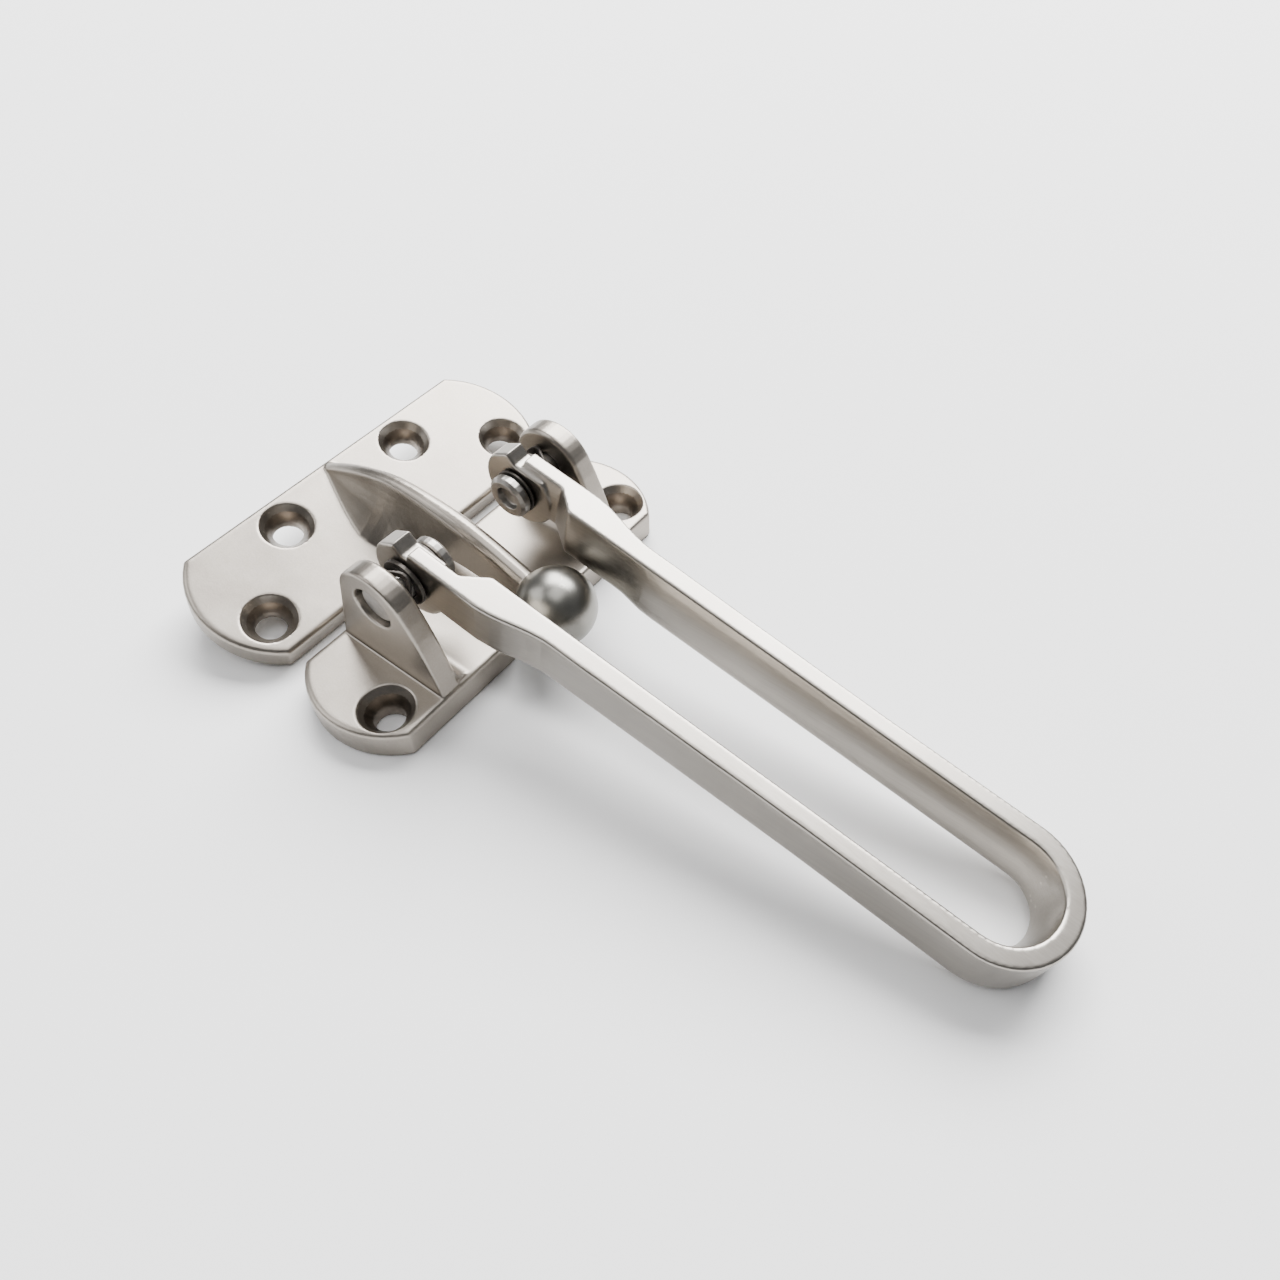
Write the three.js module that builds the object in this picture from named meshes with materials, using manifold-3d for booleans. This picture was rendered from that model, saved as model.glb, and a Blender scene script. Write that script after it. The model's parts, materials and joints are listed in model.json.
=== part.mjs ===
// Swing-bar door guard: a ball plate for the door, and a hinge base with a U-shaped bar for its frame.
// Millimetres. +Z rises off the surface that the hinge base is screwed to, +X runs along the unlocked
// bar towards its loop, Y runs along both plates. The origin is on the base's back, under the pivots.
import * as THREE from "three";
import { mergeVertices } from "three/addons/utils/BufferGeometryUtils.js";
import Module from "manifold-3d";

const wasm = await Module();
wasm.setup();

// Countersunk screw holes, alike in both castings
const SCREW = { radius: 2.6, sink: 4.4, sinkDepth: 2.5 };

// Hinge base: a plate with two lugs
const BASE = { far: -10.6, near: 12.2, shoulder: 29.2, tip: 34.7, thick: 5.6, edge: 0.8 };
const BASE_HOLES = { x: 6.1, y: 27.9 };
const BASE_BAY = { from: 9.3, halfTop: 9.6, halfBottom: 6, round: 1.6 };
const PIVOT_HEIGHT = 18.65;
const LUG = { inner: 17.6, outer: 21.4, radius: 6.9, edge: 0.5, blend: 2.6 };
const LUG_TOP_FROM = THREE.MathUtils.degToRad(30);
const LUG_TOP_TO = THREE.MathUtils.degToRad(168);
const LUG_BELLY = [10.4, 13.2];

// Ball plate, in its own frame: u across from the outer screw holes, v along, w off its back
const PLATE = { far: -17, near: 6.7, shoulder: 29.3, tip: 34.8, thick: 4.6, edge: 0.9 };
const PLATE_HOLES = [[0, 27.2], [-11.3, 13.35]];
const PLATE_LEAN = THREE.MathUtils.degToRad(15.8);
const PLATE_EDGE_X = -15.7;
const PLATE_EDGE_Z = 0.05;
const BALL = { radius: 6.6, u: 34.7, w: 19.1 };
const FIN_RIDGE = [[-16.9, 3.9], [-14.1, 6.9], [-9.1, 11.4], [-4.6, 14.7], [0, 17.4]];
FIN_RIDGE.push([9, 20.1], [17, 21.2], [32, 20.6]);
const FIN_UNDERSIDE = [[-16.9, 1.5], [5.4, 1.5], [9.5, 7.2], [14, 10], [22, 12.4], [32, 14.4]];
const FIN_TOP = { start: 1.1, end: 1.9 };
const FIN_HOLLOW = 1.8;
const FIN_FLARE = { start: 0.9, slope: 0.43, widest: 8.4, turn: 4, from: -3, gone: 13 };

// Swing bar, in its own frame: x along the bar from the pivot axis, z off the pivot axis
const BAR_DROOP = 0.144;
const BAR = { loop: 96.4, top: 6.25, bottom: -3.35, bulge: -1.6, foot: 1 };
const ARM_OUTER = { eye: 14.1, slot: 11.8, loop: 11.2, from: 13, to: 26 };
const ARM_TOP = { eye: 11.4, slot: 8.4, loop: 8.1, from: 8.2, to: 12 };
const ARM_LOW = { eye: 10.4, wide: 7.15, slot: 6.25, from: 8, to: 12.6, narrowFrom: 23, narrowTo: 30 };
const EYE = { radius: 6.9, bore: 2.7, edge: 0.25 };
const EYE_CREST = [-2.6, 6.4];
const EYE_HEEL = THREE.MathUtils.degToRad(141.5);
const EYE_NOTCH = { from: -0.9, floor: 5 };

// Pivot stack on each side, in distances from the middle plane
const RIVET = { shank: 2.5, head: 3.3, headIn: 19.2, headOut: 20.4, ring: 3.8, ringOut: 9.4, end: 7.5 };
const RIVET_DRILL = { radius: 2.1, depth: 1.2 };
const LUG_BORE = { radius: 2.6, sink: 3.6, sinkTo: 19.1 };
const INNER_WASHER = { bore: 2.6, rim: 3.9, from: 9.7, to: 10.1 };
const OUTER_WASHER = { bore: 2.6, rim: 4.1, from: 14.4, to: 15.1 };
const WAVE = { bore: 2.8, rim: 4, mid: 16.35, thick: 0.5, swing: 0.85, waves: 3 };

const ROUND = 32;
const SMALL_ROUND = 24;
const PI = Math.PI;
const mix = THREE.MathUtils.lerp;
const polar = (radius, angle) => new THREE.Vector2(radius * Math.cos(angle), radius * Math.sin(angle));

// 0 before the range and 1 after it: with a soft start and end, or straight between them.
const smooth = (x, from, to) => THREE.MathUtils.smoothstep(x, from, to);
const ramp = (x, from, to) => THREE.MathUtils.clamp((x - from) / (to - from), 0, 1);

// A closed geometry as a manifold-3d solid that faces out.
function solid(geometry) {
  const bare = geometry.clone();
  bare.deleteAttribute("normal");
  bare.deleteAttribute("uv");
  const merged = mergeVertices(bare, 1e-4);
  const corners = Array.from(merged.index.array);
  const faces = [];
  for (let i = 0; i < corners.length; i += 3) {
    const face = corners.slice(i, i + 3);
    if (new Set(face).size === 3) faces.push(face);
  }
  const build = (list) =>
    new wasm.Manifold(
      new wasm.Mesh({
        numProp: 3,
        vertProperties: new Float32Array(merged.attributes.position.array),
        triVerts: new Uint32Array(list.flat()),
      }),
    );
  const made = build(faces);
  return made.volume() > 0 ? made : build(faces.map(([a, b, c]) => [a, c, b]));
}

function geometryOf(made) {
  const mesh = made.getMesh();
  const geometry = new THREE.BufferGeometry();
  geometry.setAttribute("position", new THREE.BufferAttribute(new Float32Array(mesh.vertProperties), 3));
  geometry.setIndex(new THREE.BufferAttribute(new Uint32Array(mesh.triVerts), 1));
  geometry.computeVertexNormals();
  return geometry;
}

const union = (solids) => solids.reduce((whole, next) => whole.add(next));
const cut = (whole, tools) => tools.reduce((left, tool) => left.subtract(tool), whole);

// A skin over rings that all have the same number of points, closed by a flat cap on each end ring.
function loft(rings, capOutline) {
  const around = rings[0].length;
  const index = [];
  for (let r = 0; r + 1 < rings.length; r++) {
    for (let i = 0; i < around; i++) {
      const j = (i + 1) % around;
      const [a, b, c, d] = [r * around + i, r * around + j, (r + 1) * around + j, (r + 1) * around + i];
      index.push(a, b, c, a, c, d);
    }
  }
  const last = (rings.length - 1) * around;
  const clockwise = THREE.ShapeUtils.isClockWise(capOutline);
  for (const face of THREE.ShapeUtils.triangulateShape(capOutline, [])) {
    const [a, b, c] = clockwise ? face.reverse() : face;
    index.push(a, c, b, last + a, last + b, last + c);
  }
  const geometry = new THREE.BufferGeometry();
  const places = rings.flat().flatMap((p) => [p.x, p.y, p.z]);
  geometry.setAttribute("position", new THREE.Float32BufferAttribute(places, 3));
  geometry.setIndex(index);
  return solid(geometry);
}

// A counter-clockwise outline with every side moved in by the same distance.
function inset(outline, distance) {
  const count = outline.length;
  const inward = (a, b) => new THREE.Vector2(a.y - b.y, b.x - a.x).normalize();
  return outline.map((point, i) => {
    const before = inward(outline[(i + count - 1) % count], point);
    const after = inward(point, outline[(i + 1) % count]);
    const corner = before.clone().add(after);
    return point.clone().addScaledVector(corner, distance / (1 + before.dot(after)));
  });
}

// Layers [height, inset] of a slab whose upper edge is rounded and whose lower edge is eased.
function roundedLayers(thick, edge) {
  const layers = [[0, 0.25], [0.25, 0]];
  for (const turn of [0, 0.25, 0.5, 0.75, 1]) {
    const angle = (turn * PI) / 2;
    layers.push([thick - edge * (1 - Math.sin(angle)), edge * (1 - Math.cos(angle))]);
  }
  return layers;
}

// An outline drawn in x and y, built up along z in layers.
function slab(outline, layers) {
  const rings = layers.map(([z, by]) => inset(outline, by).map((p) => new THREE.Vector3(p.x, p.y, z)));
  return loft(rings, outline);
}

// A rectangle across x whose two ends along y bulge out as arcs.
function plateOutline({ far, near, shoulder, tip }) {
  const half = (near - far) / 2;
  const rise = tip - shoulder;
  const radius = (half * half + rise * rise) / (2 * rise);
  const reach = Math.asin(half / radius);
  const middle = (near + far) / 2;
  const steps = 14;
  const outline = [];
  for (const side of [1, -1]) {
    for (let i = 0; i <= steps; i++) {
      const angle = mix(reach, -reach, i / steps);
      const x = middle + side * radius * Math.sin(angle);
      outline.push(new THREE.Vector2(x, side * (tip - radius + radius * Math.cos(angle))));
    }
  }
  return outline;
}

// A turned piece from [radius, height] points, standing along +Z.
function turned(profile) {
  const points = profile.map(([r, z]) => new THREE.Vector2(r, z));
  return solid(new THREE.LatheGeometry(points, ROUND).rotateX(PI / 2));
}

// A turned piece along Y: heights become distances from the middle plane, on the given side.
function turnedAlongY(profile, side) {
  const points = profile.map(([r, y]) => new THREE.Vector2(r, side * y));
  return solid(new THREE.LatheGeometry(points, SMALL_ROUND));
}

function tube(bore, rim, from, to) {
  return [[bore, from], [rim, from], [rim, to], [bore, to], [bore, from]];
}

const rod = (radius, from, to) => [[0, from], [radius, from], [radius, to], [0, to]];

// The space that a countersunk screw takes out of a plate.
function screwHole(x, y, thick) {
  const { radius, sink, sinkDepth } = SCREW;
  const spare = 1;
  const profile = [[0, -spare], [radius, -spare], [radius, thick - sinkDepth], [sink, thick - 0.15]];
  profile.push([sink, thick + spare], [0, thick + spare]);
  return turned(profile).translate([x, y, 0]);
}

// One lug, drawn in x and z, with rounded top and slightly bowed near edge.
function lugOutline() {
  const centre = new THREE.Vector2(0, PIVOT_HEIGHT - 0.2);
  const spot = (angle) => polar(LUG.radius, angle).add(centre);
  const foot = BASE.thick - 1;
  const outline = [new THREE.Vector2(BASE.far + 0.2, foot), new THREE.Vector2(BASE.near - 0.4, foot)];
  const belly = new THREE.Vector2(...LUG_BELLY);
  const nearEdge = new THREE.QuadraticBezierCurve(outline[1], belly, spot(LUG_TOP_FROM));
  outline.push(...nearEdge.getPoints(6).slice(1, -1));
  const steps = 16;
  for (let i = 0; i <= steps; i++) outline.push(spot(mix(LUG_TOP_FROM, LUG_TOP_TO, i / steps)));
  return outline;
}

function lug(side) {
  const { inner, outer, edge } = LUG;
  const layers = [[inner, edge], [inner + edge, 0], [outer - edge / 2, 0], [outer, edge / 2]];
  const outline = lugOutline();
  const rings = layers.map(([y, by]) => inset(outline, by).map((p) => new THREE.Vector3(p.x, side * y, p.y)));
  const body = loft(rings, outline);
  const bores = [rod(LUG_BORE.radius, inner - 1, outer + 1), rod(LUG_BORE.sink, LUG_BORE.sinkTo, outer + 1)];
  return cut(body, bores.map((bore) => turnedAlongY(bore, side).translate([0, 0, PIVOT_HEIGHT])));
}

// The concave blend between a lug's inner face and the plate.
function lugBlend(side) {
  const { inner, blend } = LUG;
  const shape = new THREE.Shape();
  const floor = BASE.thick - 0.5;
  shape.moveTo(inner + 1, floor);
  shape.lineTo(inner + 1, BASE.thick + blend);
  shape.lineTo(inner, BASE.thick + blend);
  shape.absarc(inner - blend, BASE.thick + blend, blend, 0, -PI / 2, true);
  shape.lineTo(inner - blend, floor);
  const length = BASE.near - BASE.far - 2;
  const strip = new THREE.ExtrudeGeometry(shape, { depth: length, bevelEnabled: false, curveSegments: 6 });
  strip.applyMatrix4(new THREE.Matrix4().set(0, 0, 1, BASE.far + 1, side, 0, 0, 0, 0, 1, 0, 0, 0, 0, 0, 1));
  return solid(strip);
}

// The bay in the near edge that gives the ball room, wider at the top than at the back.
function baseBay() {
  const { from, halfTop, halfBottom, round } = BASE_BAY;
  const steps = 6;
  const outlineOf = (half) => {
    const outline = [new THREE.Vector2(BASE.near + 1, -half), new THREE.Vector2(BASE.near + 1, half)];
    for (const side of [1, -1]) {
      for (let i = 0; i <= steps; i++) {
        const angle = PI - side * mix(PI / 2, 0, (side > 0 ? i : steps - i) / steps);
        const centre = new THREE.Vector2(from + round, side * (half - round));
        outline.push(polar(round, angle).add(centre));
      }
    }
    return outline;
  };
  const slope = (halfTop - halfBottom) / BASE.thick;
  const rings = [-1, BASE.thick + 1].map((z) => {
    return outlineOf(halfBottom + slope * z).map((p) => new THREE.Vector3(p.x, p.y, z));
  });
  return loft(rings, outlineOf(halfTop));
}

function hingeBase() {
  const plate = slab(plateOutline(BASE), roundedLayers(BASE.thick, BASE.edge));
  const holes = [-1, 1].map((side) => screwHole(BASE_HOLES.x, side * BASE_HOLES.y, BASE.thick));
  return cut(union([plate, lug(-1), lug(1), lugBlend(-1), lugBlend(1)]), [...holes, baseBay()]);
}

const curveThrough = (points) =>
  new THREE.CatmullRomCurve3(points.map(([u, w]) => new THREE.Vector3(u, 0, w)));

// The height of a curve over u, found between evenly spaced samples.
function heightOver(points, u) {
  const samples = curveThrough(points).getPoints(80);
  const next = samples.findIndex((p) => p.x >= u);
  if (next < 0) return samples.at(-1).z;
  if (next === 0) return samples[0].z;
  const [a, b] = [samples[next - 1], samples[next]];
  return mix(a.z, b.z, (u - a.x) / (b.x - a.x));
}

// The lesser of two values, with the corner between them rounded over a width.
function softLesser(a, b, width) {
  const overlap = Math.max(width - Math.abs(a - b), 0);
  return Math.min(a, b) - (overlap * overlap) / (4 * width);
}

// One section of the fin: concave flanks that rise from the flare to a rounded ridge.
function finSection(u) {
  const ridge = heightOver(FIN_RIDGE, u);
  const under = heightOver(FIN_UNDERSIDE, u);
  const top = mix(FIN_TOP.start, FIN_TOP.end, smooth(u, -14, 24));
  const { start, slope, widest, turn, from, gone } = FIN_FLARE;
  const flare = softLesser(start + slope * (u - PLATE.far), widest, turn);
  const foot = mix(Math.max(flare, top), top, smooth(u, from, gone));
  const shoulder = ridge - top;
  const base = Math.min(Math.max(under, PLATE.thick - 0.6), shoulder - 1);
  const half = [];
  if (under < base) half.push([foot, under]);
  else half.push([top * 0.5, under]);
  const steps = 7;
  for (let i = 0; i <= steps; i++) {
    const s = i / steps;
    half.push([top + (foot - top) * (1 - s) ** FIN_HOLLOW, mix(base + (under < base ? 0 : 0.9), shoulder, s)]);
  }
  for (const angle of [30, 60].map(THREE.MathUtils.degToRad)) {
    half.push([top * Math.cos(angle), shoulder + top * Math.sin(angle)]);
  }
  const right = half.map(([v, w]) => new THREE.Vector3(u, v, w));
  const left = half.map(([v, w]) => new THREE.Vector3(u, -v, w)).reverse();
  return [...right, new THREE.Vector3(u, 0, ridge), ...left];
}

function fin() {
  const from = FIN_RIDGE[0][0];
  const to = BALL.u - 3;
  const steps = 26;
  const rings = [];
  for (let i = 0; i <= steps; i++) rings.push(finSection(mix(from, to, i / steps)));
  return loft(rings, rings[0].map((p) => new THREE.Vector2(p.y, p.z)));
}

function ballPlate() {
  const plate = slab(plateOutline(PLATE), roundedLayers(PLATE.thick, PLATE.edge));
  const round = new THREE.SphereGeometry(BALL.radius, 36, 24).rotateX(PI / 2);
  const ball = solid(round.translate(BALL.u, 0, BALL.w));
  const holes = PLATE_HOLES.flatMap(([u, v]) => [-v, v].map((at) => screwHole(u, at, PLATE.thick)));
  return cut(union([plate, fin(), ball]), holes);
}

// Half-widths of the bar at a distance from the pivot axis.
function armOuter(x) {
  const { eye, slot, loop, from, to } = ARM_OUTER;
  return mix(mix(eye, slot, smooth(x, from, to)), loop, smooth(x, to, BAR.loop * 0.7));
}

function armTop(x) {
  const { eye, slot, loop, from, to } = ARM_TOP;
  return mix(mix(eye, slot, ramp(x, from, to)), loop, smooth(x, to, BAR.loop));
}

function armLow(x) {
  const { eye, wide, slot, from, to, narrowFrom, narrowTo } = ARM_LOW;
  return mix(mix(eye, wide, ramp(x, from, to)), slot, smooth(x, narrowFrom, narrowTo));
}

// The bar's section as [half-width, height] points: flat top and outer side, convex inner side.
function barSection(x) {
  const { top, bottom, bulge, foot } = BAR;
  const [outer, inner, low] = [armOuter(x), armTop(x), armLow(x)];
  const section = [[outer - 0.25, top], [outer, top - 0.25], [outer, bottom + foot]];
  section.push([outer - foot * 0.3, bottom + foot * 0.3], [outer - foot, bottom], [low + 1.8, bottom]);
  section.push([low + 0.7, bottom + 0.5], [low + 0.12, bulge - 0.7], [low, bulge]);
  const steps = 6;
  for (let i = 1; i < steps; i++) {
    const s = i / steps;
    section.push([low + (inner - low) * s ** 1.7, mix(bulge, top - 0.2, s)]);
  }
  section.push([inner, top - 0.2], [inner + 0.2, top]);
  return section;
}

function barSweep() {
  const stations = [0.2, 3, 5.5, 7.9, 8.2, 9.2, 10.2, 11.1, 12, 12.6, 13.6];
  stations.push(16, 18, 20, 22, 24.5, 26.5, 28.5, 31, 45, 70, 86);
  const place = (x, side) => barSection(x).map(([r, z]) => new THREE.Vector3(x, side * r, z));
  const rings = stations.map((x) => place(x, -1));
  const bends = 24;
  for (let i = 0; i <= bends; i++) {
    const angle = mix(-PI / 2, PI / 2, i / bends);
    const ring = barSection(BAR.loop).map(
      ([r, z]) => new THREE.Vector3(BAR.loop + r * Math.cos(angle), r * Math.sin(angle), z),
    );
    rings.push(ring);
  }
  rings.push(...stations.map((x) => place(x, 1)).reverse());
  return loft(rings, barSection(0).map(([r, z]) => new THREE.Vector2(r, z)));
}

// One eye, drawn in x and z: round below, with two flats that meet in a crest and a notch before the bar.
function eye(side) {
  const { radius, edge } = EYE;
  const { from, floor } = EYE_NOTCH;
  const end = 2 * PI + Math.asin(floor / radius);
  const steps = 28;
  const outline = [];
  for (let i = 0; i <= steps; i++) {
    const angle = mix(EYE_HEEL, end, i / steps);
    outline.push(polar(radius, angle));
  }
  outline.push(new THREE.Vector2(from, floor), new THREE.Vector2(...EYE_CREST));
  const [inner, outer] = [ARM_LOW.eye, ARM_OUTER.eye];
  const layers = [[inner, edge], [inner + edge, 0], [outer - edge, 0], [outer, edge]];
  const rings = layers.map(([y, by]) => inset(outline, by).map((p) => new THREE.Vector3(p.x, side * y, p.y)));
  return loft(rings, outline);
}

function swingBar() {
  const reach = ARM_OUTER.eye + 1;
  const bores = [-1, 1].map((side) => turnedAlongY(rod(EYE.bore, ARM_LOW.eye - 1, reach), side));
  return cut(union([barSweep(), eye(-1), eye(1)]), bores);
}

function rivet(side) {
  const { shank, head, headIn, headOut, ring, ringOut, end } = RIVET;
  const { radius, depth } = RIVET_DRILL;
  const profile = [[0, headOut], [head - 0.3, headOut], [head, headOut - 0.3], [head, headIn]];
  profile.push([shank, headIn], [shank, ringOut], [ring - 0.3, ringOut], [ring, ringOut - 0.3], [ring, end + 0.5]);
  profile.push([ring - 0.6, end], [radius, end + 0.2], [radius - 0.2, end + depth], [0, end + depth + 0.6]);
  return turnedAlongY(profile, side);
}

function waveWasher(side) {
  const { bore, rim, mid, thick, swing, waves } = WAVE;
  const rings = [];
  const steps = 36;
  for (let i = 0; i <= steps; i++) {
    const angle = (i / steps) * 2 * PI;
    const rise = mid + swing * Math.cos(waves * angle);
    const corners = [[bore, -thick / 2], [rim, -thick / 2], [rim, thick / 2], [bore, thick / 2]];
    const [c, s] = [Math.cos(angle), Math.sin(angle)];
    rings.push(corners.map(([r, up]) => new THREE.Vector3(r * c, side * (rise + up), r * s)));
  }
  return closedLoop(rings);
}

// A skin over rings where the last ring repeats the first, so that it needs no caps.
function closedLoop(rings) {
  const around = rings[0].length;
  const index = [];
  for (let r = 0; r + 1 < rings.length; r++) {
    for (let i = 0; i < around; i++) {
      const j = (i + 1) % around;
      const next = (r + 1) % (rings.length - 1);
      const [a, b, c, d] = [r * around + i, r * around + j, next * around + j, next * around + i];
      index.push(a, b, c, a, c, d);
    }
  }
  const geometry = new THREE.BufferGeometry();
  const places = rings.slice(0, -1).flat().flatMap((p) => [p.x, p.y, p.z]);
  geometry.setAttribute("position", new THREE.Float32BufferAttribute(places, 3));
  geometry.setIndex(index);
  return solid(geometry);
}

const satinNickel = { color: 0xbdb5ab, roughness: 0.38, metalness: 1 };
const brushedNickel = { color: 0xd8d4cd, roughness: 0.3, metalness: 1 };
const rivetSteel = { color: 0xa9a59f, roughness: 0.32, metalness: 1 };
const springSteel = { color: 0x7d7972, roughness: 0.42, metalness: 1 };

function piece(name, made, finish) {
  const mesh = new THREE.Mesh(geometryOf(made), new THREE.MeshStandardMaterial(finish));
  mesh.name = name;
  return mesh;
}

const guard = new THREE.Group();
guard.add(piece("hinge_base", hingeBase(), satinNickel));

const laidPlate = new THREE.Group();
const loosePlate = piece("ball_plate", ballPlate(), satinNickel);
loosePlate.position.set(-PLATE.near, 0, 0);
laidPlate.position.set(PLATE_EDGE_X, 0, PLATE_EDGE_Z);
laidPlate.rotation.y = PLATE_LEAN;
laidPlate.add(loosePlate);
guard.add(laidPlate);

const pivots = new THREE.Group();
pivots.position.set(0, 0, PIVOT_HEIGHT);
const bar = piece("swing_bar", swingBar(), brushedNickel);
bar.rotation.y = BAR_DROOP;
pivots.add(bar);
for (const [side, word] of [[-1, "near"], [1, "far"]]) {
  const { bore, rim, from, to } = INNER_WASHER;
  pivots.add(piece(`pivot_rivet_${word}`, rivet(side), rivetSteel));
  pivots.add(piece(`inner_washer_${word}`, turnedAlongY(tube(bore, rim, from, to), side), rivetSteel));
  const outer = OUTER_WASHER;
  const flat = turnedAlongY(tube(outer.bore, outer.rim, outer.from, outer.to), side);
  pivots.add(piece(`outer_washer_${word}`, flat, rivetSteel));
  pivots.add(piece(`wave_spring_${word}`, waveWasher(side), springSteel));
}
guard.add(pivots);

export default guard;
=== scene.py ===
"""Looks, light and camera for the swing bar door guard. Metres, in the CAD model's frame."""
import json
import math

import bmesh
import bpy
from mathutils import Matrix, Vector


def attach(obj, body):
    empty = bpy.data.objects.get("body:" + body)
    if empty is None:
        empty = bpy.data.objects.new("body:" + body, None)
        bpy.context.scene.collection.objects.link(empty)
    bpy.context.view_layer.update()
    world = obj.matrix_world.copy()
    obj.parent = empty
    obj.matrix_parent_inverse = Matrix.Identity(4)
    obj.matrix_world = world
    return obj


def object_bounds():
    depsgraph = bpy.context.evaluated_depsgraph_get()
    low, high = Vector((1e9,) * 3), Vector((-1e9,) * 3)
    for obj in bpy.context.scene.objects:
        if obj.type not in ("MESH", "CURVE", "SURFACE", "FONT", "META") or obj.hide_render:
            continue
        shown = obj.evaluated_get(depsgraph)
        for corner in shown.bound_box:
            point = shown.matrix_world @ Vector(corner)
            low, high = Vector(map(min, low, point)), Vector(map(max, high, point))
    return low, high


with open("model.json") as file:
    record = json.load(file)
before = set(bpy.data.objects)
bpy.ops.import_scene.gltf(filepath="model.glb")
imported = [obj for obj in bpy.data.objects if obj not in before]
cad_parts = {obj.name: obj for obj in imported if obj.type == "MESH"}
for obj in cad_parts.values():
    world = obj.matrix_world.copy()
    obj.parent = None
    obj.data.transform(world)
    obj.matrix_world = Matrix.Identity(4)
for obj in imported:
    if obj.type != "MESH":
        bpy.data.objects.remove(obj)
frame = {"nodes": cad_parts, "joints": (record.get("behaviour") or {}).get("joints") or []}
cad_low, cad_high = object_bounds()

MM = 0.001

# Surface of the castings, remeshed finely so that their edges are softly rounded
CASTING_VOXEL = 0.17 * MM
SMALL_VOXEL = 0.08 * MM
CASTING_SMOOTHING = 9
SMALL_SMOOTHING = 3

# Screw holes and ball, as the CAD model has them
SINK_RADIUS = 4.4 * MM
SCREW_RADIUS = 2.6 * MM
SINK_DEPTH = 2.5 * MM
LINER_GAP = 0.06 * MM
LINER_FOOT = 0.5 * MM
LINER_BELOW_RIM = 0.25 * MM
BASE_HOLE_X = 6.1 * MM
BASE_HOLE_Y = 27.9 * MM
BASE_THICK = 5.6 * MM
PLATE_HOLES = ((0.0, 27.2 * MM), (-11.3 * MM, 13.35 * MM))
PLATE_THICK = 4.6 * MM
PLATE_NEAR = 6.7 * MM
BALL_RADIUS = 6.61 * MM
BALL_AT = Vector((34.7 * MM, 0.0, 19.1 * MM))
BAR_DROOP = 0.144

# Finishes: linear colours (the washer and spring ones darkened as painted shade), and how far the
# brushing stretches its streaks
STREAK_STRETCH = (45, 3600, 3600)
NICKEL = (0.35, 0.318, 0.280)
NICKEL_DARK = (0.26, 0.234, 0.204)
BRUSHED = (0.38, 0.355, 0.322)
BRUSHED_DARK = (0.31, 0.287, 0.257)
POLISHED = (0.25, 0.243, 0.222)
SINK_BROWN = (0.27, 0.235, 0.20)
RIVET = (0.36, 0.342, 0.32)
# Washer and spring colours are painted shade: darkened to stand for the dark gap between lug and arm
WASHER_PAINTED_SHADE = (0.12, 0.11, 0.10)
SPRING_PAINTED_SHADE = (0.08, 0.073, 0.067)

# Camera, from the photograph's viewing angle
CAMERA_AT = Vector((96.89, -75.95, 144.76)) * MM
CAMERA_FORWARD = Vector((-0.33256, 0.52299, -0.78479))
CAMERA_RIGHT = Vector((0.81272, 0.58108, 0.04284))
CAMERA_LENS = 30.35
CAMERA_SHIFT = (-0.0673, -0.0114)

FLOOR_SIZE = 14.0
FLOOR_BELOW = 0.02 * MM

# Studio light: each softbox's place from the middle of the part, its size and its power in watts
ROOM_COLOUR = (0.93, 0.95, 1.0, 1.0)
ROOM_STRENGTH = 0.18
SOFTBOXES = {
    "window": ((-0.38, 0.92, 1.0), (1.4, 1.0), 86.0),
    "top": ((0.1, 0.0, 1.5), (0.9, 0.9), 8.0),
    "fill": ((-0.9, -0.6, 0.9), (0.9, 0.9), 9.0),
}


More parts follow.
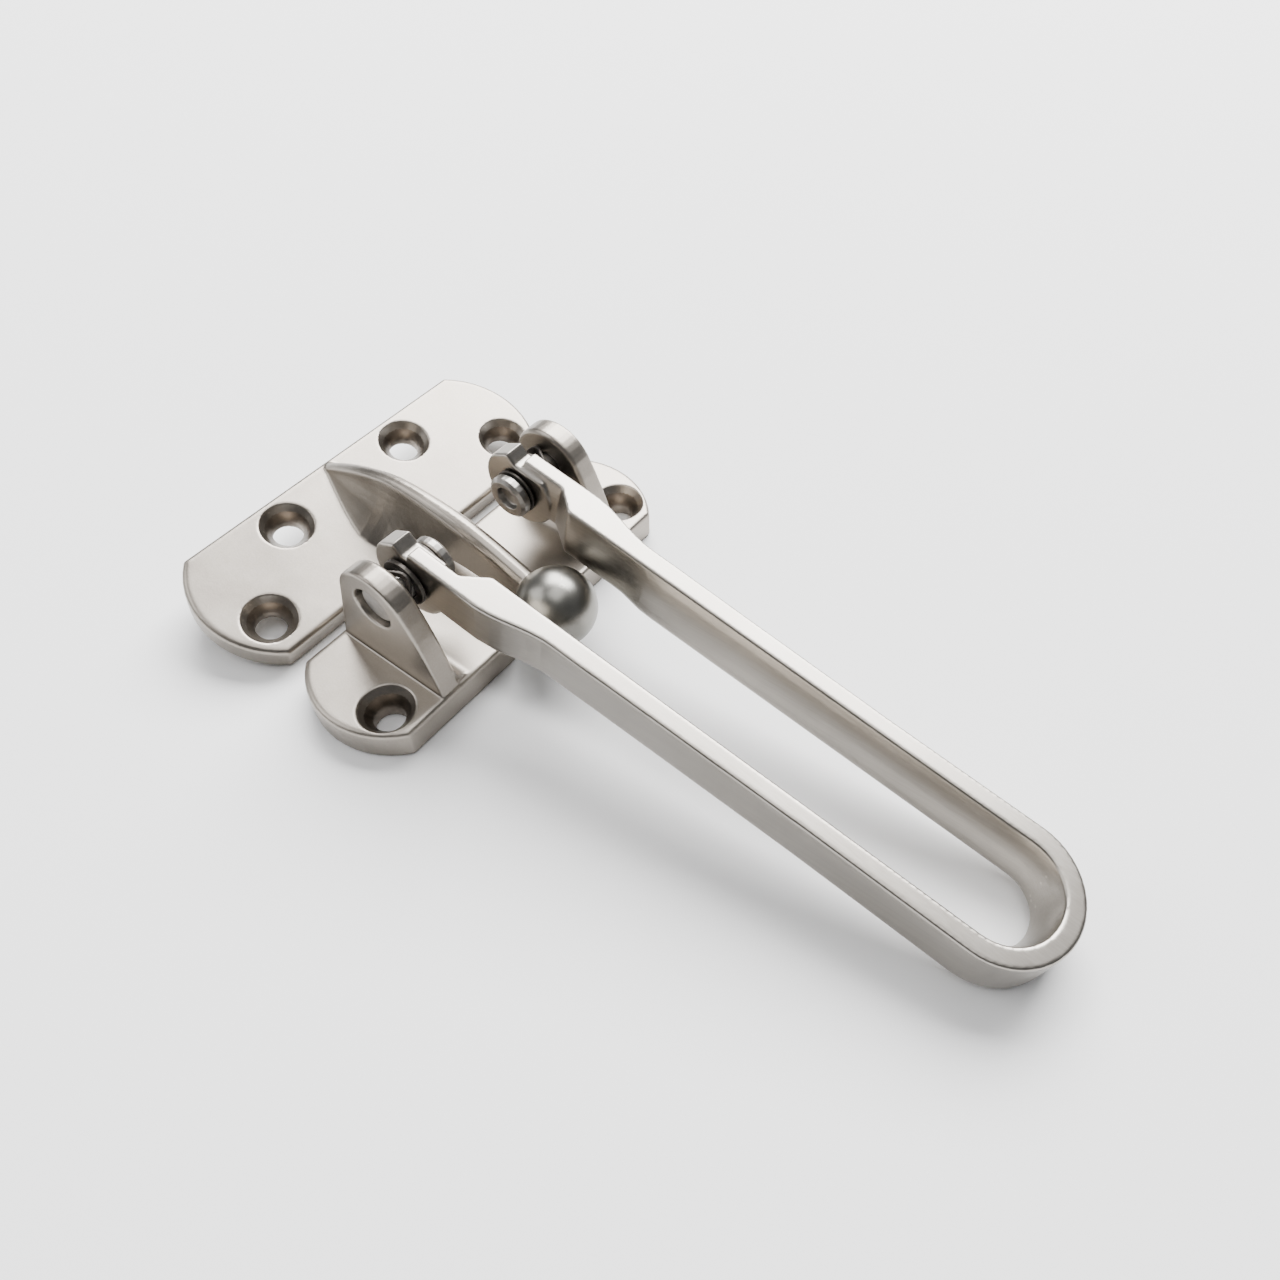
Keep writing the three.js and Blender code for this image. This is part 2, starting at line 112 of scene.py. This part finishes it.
class Graph:
    """A short way to write a material's nodes."""

    def __init__(self, name):
        self.material = bpy.data.materials.new(name)
        self.material.use_nodes = True
        self.nodes = self.material.node_tree.nodes
        self.links = self.material.node_tree.links
        self.shader = self.nodes["Principled BSDF"]

    def add(self, kind, **settings):
        node = self.nodes.new(kind)
        for key, value in settings.items():
            if key in node.inputs:
                node.inputs[key].default_value = value
            else:
                setattr(node, key, value)
        return node

    def link(self, out_socket, in_socket):
        self.links.new(out_socket, in_socket)

    def place(self, scale=(1, 1, 1), rotation=(0, 0, 0)):
        """Object coordinates, in metres, stretched by scale."""
        coordinates = self.add("ShaderNodeTexCoord")
        mapping = self.add("ShaderNodeMapping")
        mapping.inputs["Scale"].default_value = scale
        mapping.inputs["Rotation"].default_value = rotation
        self.link(coordinates.outputs["Object"], mapping.inputs["Vector"])
        return mapping.outputs["Vector"]

    def noise(self, vector, scale, detail=3.0, roughness=0.5):
        node = self.add("ShaderNodeTexNoise", Scale=scale, Detail=detail, Roughness=roughness)
        self.link(vector, node.inputs["Vector"])
        return node.outputs["Fac"]

    def span(self, value, low, high, to_low=0.0, to_high=1.0):
        node = self.add("ShaderNodeMapRange")
        node.inputs["From Min"].default_value = low
        node.inputs["From Max"].default_value = high
        node.inputs["To Min"].default_value = to_low
        node.inputs["To Max"].default_value = to_high
        self.link(value, node.inputs["Value"])
        return node.outputs["Result"]

    def blend(self, factor, a, b):
        node = self.add("ShaderNodeMix", data_type="RGBA")
        for socket, value in (("A", a), ("B", b)):
            target = [i for i in node.inputs if i.name == socket and i.type == "RGBA"][0]
            if isinstance(value, tuple):
                target.default_value = (*value, 1.0)
            else:
                self.link(value, target)
        self.link(factor, node.inputs[0])
        return [o for o in node.outputs if o.type == "RGBA"][0]

    def calculate(self, operation, a, b):
        node = self.add("ShaderNodeMath", operation=operation)
        for socket, value in zip(node.inputs, (a, b)):
            if isinstance(value, float):
                socket.default_value = value
            else:
                self.link(value, socket)
        return node.outputs[0]

    def bump(self, height, strength, distance):
        node = self.add("ShaderNodeBump", Strength=strength, Distance=distance)
        self.link(height, node.inputs["Height"])
        self.link(node.outputs["Normal"], self.shader.inputs["Normal"])

    def edges(self):
        """1 on the outer edges, where the plating shows wear and a painted edge highlight, and 0
        elsewhere.
        """
        geometry = self.add("ShaderNodeNewGeometry")
        return self.span(geometry.outputs["Pointiness"], 0.53, 0.60)


def cast_metal(name, light, dark, roughness, grain=1.0):
    """Satin plating over a casting: a fine pearly grain, faint clouding, and edges lightened by wear and
    a painted highlight.
    """
    g = Graph(name)
    at = g.place()
    clouds = g.noise(at, 90.0, 4.0)
    speck = g.noise(at, 3200.0, 2.0)
    pits = g.noise(at, 1100.0, 3.0)
    cloudy = g.calculate("ADD", clouds, g.calculate("MULTIPLY", speck, 0.3))
    tone = g.blend(g.span(cloudy, 0.45, 0.85), dark, light)
    # Lighter edge colour: plating wear plus a painted edge highlight
    edge_wear_highlight_colour = tuple(min(1.0, channel * 1.22) for channel in light)
    edge_wear_highlight_amount = g.calculate("MULTIPLY", g.edges(), 0.7)
    g.link(g.blend(edge_wear_highlight_amount, tone, edge_wear_highlight_colour), g.shader.inputs["Base Color"])
    g.link(g.span(clouds, 0.3, 0.7, roughness - 0.04, roughness + 0.05), g.shader.inputs["Roughness"])
    g.shader.inputs["Metallic"].default_value = 1.0
    g.bump(g.calculate("ADD", speck, pits), 0.35 * grain, 0.02 * MM)
    return g.material


def brushed_metal(name, light, dark, roughness, turn):
    """Plating brushed in one direction: hair-fine streaks, and edges lightened by wear and a painted
    highlight.
    """
    g = Graph(name)
    streaks_at = g.place(STREAK_STRETCH, (0, turn, 0))
    streaks = g.noise(streaks_at, 1.0, 2.0, 0.5)
    clouds = g.noise(g.place(), 70.0, 3.0)
    tone = g.blend(g.span(g.calculate("ADD", streaks, clouds), 0.6, 1.4), dark, light)
    # Lighter edge colour: plating wear plus a painted edge highlight
    edge_wear_highlight_colour = tuple(min(1.0, channel * 1.2) for channel in light)
    g.link(g.blend(g.edges(), tone, edge_wear_highlight_colour), g.shader.inputs["Base Color"])
    g.link(g.span(streaks, 0.3, 0.7, roughness - 0.02, roughness + 0.03), g.shader.inputs["Roughness"])
    g.shader.inputs["Metallic"].default_value = 1.0
    g.bump(streaks, 0.03, 0.004 * MM)
    return g.material


def turned_metal(name, light, dark, roughness):
    """Bare or thinly plated metal: soft patches under a fine grain."""
    g = Graph(name)
    at = g.place()
    patches = g.noise(at, 500.0, 3.0)
    fine = g.noise(at, 4200.0, 2.0)
    g.link(g.blend(g.span(patches, 0.35, 0.65), dark, light), g.shader.inputs["Base Color"])
    g.link(g.span(fine, 0.3, 0.7, roughness - 0.05, roughness + 0.08), g.shader.inputs["Roughness"])
    g.shader.inputs["Metallic"].default_value = 1.0
    g.bump(fine, 0.3, 0.01 * MM)
    return g.material


def paper(name):
    g = Graph(name)
    tint = g.noise(g.place(), 6.0)
    g.link(g.blend(tint, (0.93, 0.93, 0.93), (0.96, 0.96, 0.96)), g.shader.inputs["Base Color"])
    g.shader.inputs["Roughness"].default_value = 0.9
    return g.material


def give(obj, material):
    obj.data.materials.clear()
    obj.data.materials.append(material)


def refine(obj, voxel, smoothing):
    """Remeshes a CAD node finely, and rounds what a casting rounds."""
    remesh = obj.modifiers.new("Fine surface", "REMESH")
    remesh.mode = "VOXEL"
    remesh.voxel_size = voxel
    remesh.use_smooth_shade = True
    soften = obj.modifiers.new("Soft edges", "SMOOTH")
    soften.factor = 0.5
    soften.iterations = smoothing


def lathe(name, profile, segments, material, body, placing):
    """A turned piece from (radius, height) points, placed by a matrix, riding on a body."""
    shape = bmesh.new()
    rings = []
    for radius, height in profile:
        ring = []
        for i in range(segments):
            angle = 2 * math.pi * i / segments
            ring.append(shape.verts.new((radius * math.cos(angle), radius * math.sin(angle), height)))
        rings.append(ring)
    for lower, upper in zip(rings, rings[1:]):
        for i in range(segments):
            j = (i + 1) % segments
            shape.faces.new((lower[i], lower[j], upper[j], upper[i]))
    shape.transform(placing)
    bmesh.ops.recalc_face_normals(shape, faces=shape.faces)
    mesh = bpy.data.meshes.new(name)
    shape.to_mesh(mesh)
    shape.free()
    mesh.shade_smooth()
    obj = bpy.data.objects.new(name, mesh)
    bpy.context.scene.collection.objects.link(obj)
    give(obj, material)
    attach(obj, body)
    return obj


def plate_frame():
    """The ball plate's own frame at rest: it leans about its near bottom edge."""
    rock = next(j for j in frame["joints"] if j["name"] == "ball_plate_rock")
    lean = math.radians(rock["range_deg"][1])
    edge = Matrix.Translation(Vector(rock["pos_m"]))
    return edge @ Matrix.Rotation(lean, 4, "Y") @ Matrix.Translation((-PLATE_NEAR, 0, 0))


def countersinks(material):
    """The turned walls of the screw holes, just proud of the casting."""

    def liner(name, x, y, thick, placing, body):
        bottom = thick - SINK_DEPTH
        r = SCREW_RADIUS - LINER_GAP
        rim = SINK_RADIUS - LINER_GAP
        profile = [(r, LINER_FOOT), (r, bottom), (rim, thick - LINER_BELOW_RIM)]
        lathe(name, profile, 96, material, body, placing @ Matrix.Translation((x, y, 0)))

    flat = Matrix.Identity(4)
    for side, word in ((-1, "near"), (1, "far")):
        liner(f"base_sink_{word}", BASE_HOLE_X, side * BASE_HOLE_Y, BASE_THICK, flat, "base")
    for number, (u, v) in enumerate(PLATE_HOLES):
        for side, word in ((-1, "near"), (1, "far")):
            liner(f"plate_sink_{number}_{word}", u, side * v, PLATE_THICK, plate_frame(), "door_plate")


def ball(material):
    """The polished ball, with a finer round than the CAD solid's."""
    steps = 64
    profile = []
    for i in range(steps + 1):
        angle = math.pi * (i / steps - 0.5)
        profile.append((max(BALL_RADIUS * math.cos(angle), 1e-6), BALL_RADIUS * math.sin(angle)))
    placing = plate_frame() @ Matrix.Translation(BALL_AT)
    lathe("ball", profile, 128, material, "door_plate", placing)


def dress_castings():
    satin = cast_metal("satin nickel", NICKEL, NICKEL_DARK, 0.36)
    brushed = brushed_metal("brushed nickel", BRUSHED, BRUSHED_DARK, 0.30, -BAR_DROOP)
    for name in ("hinge_base", "ball_plate"):
        node = frame["nodes"][name]
        give(node, satin)
        refine(node, CASTING_VOXEL, CASTING_SMOOTHING)
    bar = frame["nodes"]["swing_bar"]
    give(bar, brushed)
    refine(bar, CASTING_VOXEL, CASTING_SMOOTHING)


def dress_pivots():
    steel = turned_metal("rivet steel", RIVET, tuple(0.8 * c for c in RIVET), 0.34)
    # Washers and wave spring get painted shade: very dark steel standing for the shaded gap between lug
    # and arm
    washer_painted_shade = turned_metal("washer steel painted shade", WASHER_PAINTED_SHADE, tuple(0.7 * c for c in WASHER_PAINTED_SHADE), 0.55)
    spring = turned_metal("spring steel painted shade", SPRING_PAINTED_SHADE, tuple(0.6 * c for c in SPRING_PAINTED_SHADE), 0.50)
    finishes = {"pivot_rivet": steel, "inner_washer": washer_painted_shade, "outer_washer": washer_painted_shade, "wave_spring": spring}
    for kind, finish in finishes.items():
        for word in ("near", "far"):
            node = frame["nodes"][f"{kind}_{word}"]
            give(node, finish)
            refine(node, SMALL_VOXEL, SMALL_SMOOTHING)


def floor():
    shape = bmesh.new()
    half = FLOOR_SIZE / 2
    corners = [shape.verts.new((x * half, y * half, 0)) for x, y in ((-1, -1), (1, -1), (1, 1), (-1, 1))]
    shape.faces.new(corners)
    mesh = bpy.data.meshes.new("floor")
    shape.to_mesh(mesh)
    shape.free()
    obj = bpy.data.objects.new("floor", mesh)
    obj.location.z = cad_low.z - FLOOR_BELOW
    bpy.context.scene.collection.objects.link(obj)
    give(obj, paper("white paper"))


def softbox(name, at, target, size, power):
    light = bpy.data.lights.new(name, "AREA")
    light.shape = "RECTANGLE"
    light.size, light.size_y = size
    light.energy = power
    obj = bpy.data.objects.new(name, light)
    obj.location = at
    obj.rotation_mode = "QUATERNION"
    obj.rotation_quaternion = (target - at).to_track_quat("-Z", "Y")
    bpy.context.scene.collection.objects.link(obj)


def lights():
    world = bpy.data.worlds.new("Room")
    world.use_nodes = True
    background = world.node_tree.nodes["Background"]
    background.inputs["Color"].default_value = ROOM_COLOUR
    background.inputs["Strength"].default_value = ROOM_STRENGTH
    bpy.context.scene.world = world
    centre = (cad_low + cad_high) / 2
    for name, (offset, size, power) in SOFTBOXES.items():
        softbox(name, centre + Vector(offset), centre, size, power)


def camera():
    data = bpy.data.cameras.new("Camera")
    data.lens = CAMERA_LENS
    data.sensor_width = 36.0
    data.shift_x, data.shift_y = CAMERA_SHIFT
    data.clip_start = 0.01
    obj = bpy.data.objects.new("Camera", data)
    back = -CAMERA_FORWARD.normalized()
    right = CAMERA_RIGHT.normalized()
    up = back.cross(right)
    obj.matrix_world = Matrix.Translation(CAMERA_AT) @ Matrix((right, up, back)).transposed().to_4x4()
    bpy.context.scene.collection.objects.link(obj)
    bpy.context.scene.camera = obj


dress_castings()
dress_pivots()
countersinks(turned_metal("countersink", SINK_BROWN, tuple(0.75 * c for c in SINK_BROWN), 0.34))
ball(cast_metal("polished nickel", POLISHED, tuple(0.85 * c for c in POLISHED), 0.34, 0.3))
floor()
lights()
camera()
